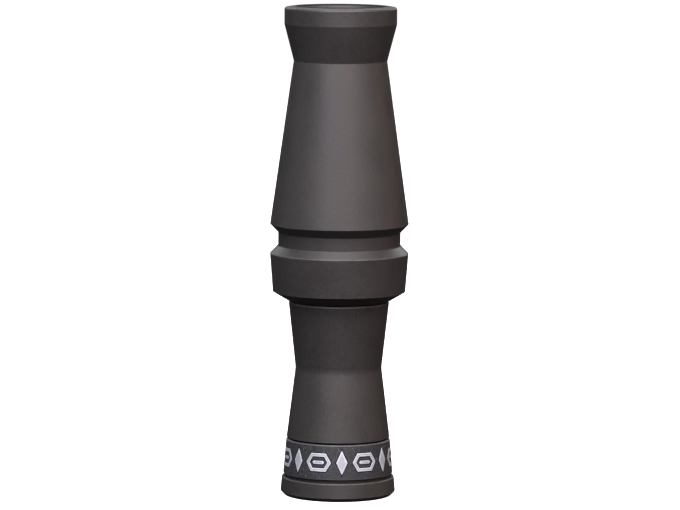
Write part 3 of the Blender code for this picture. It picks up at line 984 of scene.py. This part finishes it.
def black_anodised():
    """The band's ground: black anodised aluminium with a fine mottle and a few light flecks."""
    nodes = Nodes("black_anodised")
    mottle = nodes.noise(0.5 * MM, detail=4.0, roughness=0.65)
    fine_mottle = nodes.noise(0.16 * MM, detail=2.0)
    flecks = nodes.noise(0.7 * MM, detail=1.0)
    ground = nodes.mix(nodes.ramp(mottle, 0.0, 1.0, low=0.35), ANODISED_DARK, ANODISED_LIGHT)
    spots = nodes.ramp(fine_mottle, 0.0, 0.6, low=0.62, high=0.74)
    ground = nodes.mix(spots, ground, ANODISED_SPOT)
    ground = nodes.mix(nodes.ramp(flecks, 0.0, 0.8, low=0.66, high=0.78), ground, ANODISED_SPOT)
    # Worn edges lightened: wear, and a painted highlight
    ground = nodes.mix(nodes.wear_and_highlight(0.3), ground, ANODISED_WORN_HIGHLIGHT)
    # Creases and joints painted dark as shade
    ground = nodes.mix(nodes.shade_share(0.9), ground, ANODISED_PAINTED_SHADE)
    nodes.set(Metallic=0.35)
    relief = nodes.math("ADD", mottle, fine_mottle)
    return nodes.finish(ground, nodes.ramp(mottle, 0.42, 0.6), relief, 0.015 * MM)


def engraved_silver():
    """Bright engraved aluminium with fine strokes in it, edges with a painted highlight, and a dull ring of
    painted shadow round it.
    """
    nodes = Nodes("engraved_silver")
    strokes = nodes.noise(0.12 * MM, detail=3.0, stretch=UP_THE_MARK)
    cloud = nodes.noise(1.0 * MM, detail=2.0)
    silver = nodes.mix(nodes.ramp(strokes, 0.0, 1.0), SILVER_DARK, SILVER_LIGHT)
    # The marks' edges lightened: wear, and a painted highlight
    silver = nodes.mix(nodes.wear_and_highlight(0.9), silver, SILVER_WORN_HIGHLIGHT)
    # The ring round each mark painted dark as shadow, and made dull
    shadow_ring_share = nodes.shade_share(1.0)
    silver = nodes.mix(shadow_ring_share, silver, PAINTED_SHADOW_RING)
    nodes.set(Metallic=0.35)
    roughness = nodes.math("MAXIMUM", nodes.ramp(cloud, 0.45, 0.6), shadow_ring_share)
    return nodes.finish(silver, roughness, strokes, 0.01 * MM)


def smoked_board():
    """Tone board: dark smoked plastic with a slight gloss and milling lines across it."""
    nodes = Nodes("smoked_board")
    cloud = nodes.noise(6 * MM, detail=2.0)
    milling = nodes.noise(0.22 * MM, detail=3.0, stretch=ACROSS_THE_BOARD)
    colour = nodes.mix(cloud, BOARD_DARK, BOARD_LIGHT)
    return nodes.finish(colour, nodes.ramp(milling, 0.22, 0.36), milling, 0.01 * MM)


def reed_film():
    """Milky polyester film, with a soft haze and fine lengthwise drawing lines."""
    nodes = Nodes("reed_film")
    haze = nodes.noise(4 * MM, detail=2.0)
    drawn = nodes.noise(0.3 * MM, detail=2.0, stretch=ALONG_THE_FILM)
    colour = nodes.mix(haze, FILM_DARK, FILM_LIGHT)
    nodes.set(Transmission_Weight=0.25)
    return nodes.finish(colour, nodes.ramp(drawn, 0.24, 0.32), drawn, 0.001 * MM)


def seal_rubber():
    """Black rubber with a faint grey bloom and fine pores."""
    nodes = Nodes("seal_rubber")
    bloom = nodes.noise(1.5 * MM, detail=3.0)
    pores = nodes.noise(0.08 * MM, detail=2.0)
    grey = nodes.ramp(bloom, 0.0, 1.0, low=0.4, high=0.75)
    colour = nodes.mix(grey, RUBBER_DARK, RUBBER_LIGHT)
    return nodes.finish(colour, nodes.ramp(bloom, 0.42, 0.6), pores, 0.006 * MM)


def wedge_cork():
    """Pressed cork: granules of several browns, dark flecks, and darker seams between them."""
    nodes = Nodes("wedge_cork")
    granules = nodes.cells(GRANULE_SIZE, "F1")
    to_seam = nodes.cells(GRANULE_SIZE, "DISTANCE_TO_EDGE").outputs["Distance"]
    tone = nodes.tree.nodes.new("ShaderNodeSeparateColor")
    nodes.link(granules.outputs["Color"], tone.inputs["Color"])
    fleck = nodes.noise(0.25 * MM, detail=3.0)
    colour = nodes.mix(tone.outputs["Red"], CORK_DARK, CORK_LIGHT)
    colour = nodes.mix(nodes.ramp(fleck, 0.0, 0.6, low=0.55, high=0.75), colour, CORK_FLECK)
    colour = nodes.mix(nodes.ramp(to_seam, 0.75, 0.0, low=0.0, high=0.08), colour, CORK_SEAM)
    swell = nodes.ramp(to_seam, 0.0, 1.0, low=0.0, high=0.3)
    relief = nodes.math("ADD", swell, fleck)
    return nodes.finish(colour, nodes.ramp(fleck, 0.75, 0.92), relief, 0.06 * MM)


# ---------------------------------------------------------------- stage, light and camera


def floor():
    """A white, self-lit floor that neither mirrors in the call nor lights it."""
    shape = bmesh.new()
    bmesh.ops.create_grid(
        shape, x_segments=FLOOR_PARTS, y_segments=FLOOR_PARTS, size=FLOOR_SIZE / 2
    )
    piece = add_object("floor", shape)
    nodes = Nodes("pale_floor")
    colour = nodes.mix(nodes.noise(FLOOR_CLOUD_SIZE, detail=2.0), FLOOR_DARK, FLOOR_LIGHT)
    nodes.link(colour, nodes.shader.inputs["Base Color"])
    nodes.set(Roughness=0.9, Emission_Color=WHITE, Emission_Strength=1.0)
    piece.data.materials.append(nodes.material)
    piece.visible_diffuse = False
    piece.visible_glossy = False


def softbox(name, azimuth, elevation, box, power, colour):
    """A rectangular area light that faces the call. Azimuth 0 is the camera's side, and a
    positive azimuth is to its right."""
    distance, width, height = box
    light = bpy.data.lights.new(name, "AREA")
    light.shape = "RECTANGLE"
    light.size = width
    light.size_y = height
    light.energy = power
    light.color = colour
    lamp = bpy.data.objects.new(name, light)
    turn = math.radians(azimuth)
    lift = math.radians(elevation)
    level = math.cos(lift)
    target = Vector((0.0, 0.0, (BARREL_HIGH.z + RING_LOW.z) / 2))
    offset = Vector((math.sin(turn) * level, -math.cos(turn) * level, math.sin(lift)))
    lamp.location = target + offset * distance
    lamp.rotation_euler = (-offset).to_track_quat("-Z", "Y").to_euler()
    lamp.visible_camera = False
    bpy.context.scene.collection.objects.link(lamp)


def world():
    """White to the camera, and a dim grey as light on the call."""
    sky = bpy.data.worlds.new("studio")
    sky.use_nodes = True
    bpy.context.scene.world = sky
    tree = sky.node_tree
    background = tree.nodes["Background"]
    background.inputs["Color"].default_value = WHITE
    path = tree.nodes.new("ShaderNodeLightPath")
    strength = tree.nodes.new("ShaderNodeMapRange")
    strength.inputs["To Min"].default_value = SKY_LIGHT
    strength.inputs["To Max"].default_value = SKY_TO_CAMERA
    tree.links.new(path.outputs["Is Camera Ray"], strength.inputs["Value"])
    tree.links.new(strength.outputs["Result"], background.inputs["Strength"])


def camera():
    lens = bpy.data.cameras.new("camera")
    lens.lens = CAMERA_LENS_MM
    lens.clip_end = CAMERA_REACH
    eye = bpy.data.objects.new("camera", lens)
    eye.location = (0.0, -CAMERA_DISTANCE, CAMERA_HEIGHT)
    direction = Vector(CAMERA_AIM) - eye.location
    aim = direction.to_track_quat("-Z", "Y").to_matrix().to_4x4()
    eye.rotation_euler = (aim @ Matrix.Rotation(CAMERA_ROLL, 4, "Z")).to_euler()
    bpy.context.scene.collection.objects.link(eye)
    bpy.context.scene.camera = eye
    bpy.context.scene.view_settings.view_transform = "Standard"


# ---------------------------------------------------------------- the call


def dress():
    """Make every piece of the call, on the body that carries it. The reeds blend from the
    wedge, at the mouth of their slot, to their own sprung bodies at the tip."""
    charcoal = blasted_charcoal()
    place(barrel(), "barrel", "call_body", charcoal, "barrel")
    place(insert_body(), "insert", "call_body", charcoal, "insert_body")
    place(end_ring(), "insert", "call_body", charcoal, "end_ring")
    place(band(), "insert", "band_metal", black_anodised(), "band")
    place(band_marks(), "insert", "band_marks", engraved_silver())
    place(tone_board(), "insert", "board", smoked_board(), "tone_board")
    rubber = seal_rubber()
    for node in ("o_ring_lower", "o_ring_upper"):
        place(o_ring(node), "seals", "seal_rubber", rubber, node)
    film = reed_film()
    for node, dimple_depth in (("reed_lower", 0.0), ("reed_upper", DIMPLE_DEPTH)):
        piece = reed(node, dimple_depth)
        place(piece, None, "reed_film", film, node)
        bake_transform(piece, "wedge", node, start=(0, 0, MORTISE_Z), end=(0, 0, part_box(node)[1].z))
    place(wedge(), "wedge", "wedge_cork", wedge_cork(), "wedge")


camera()
floor()
for light in LIGHTS:
    softbox(*light)
world()
dress()
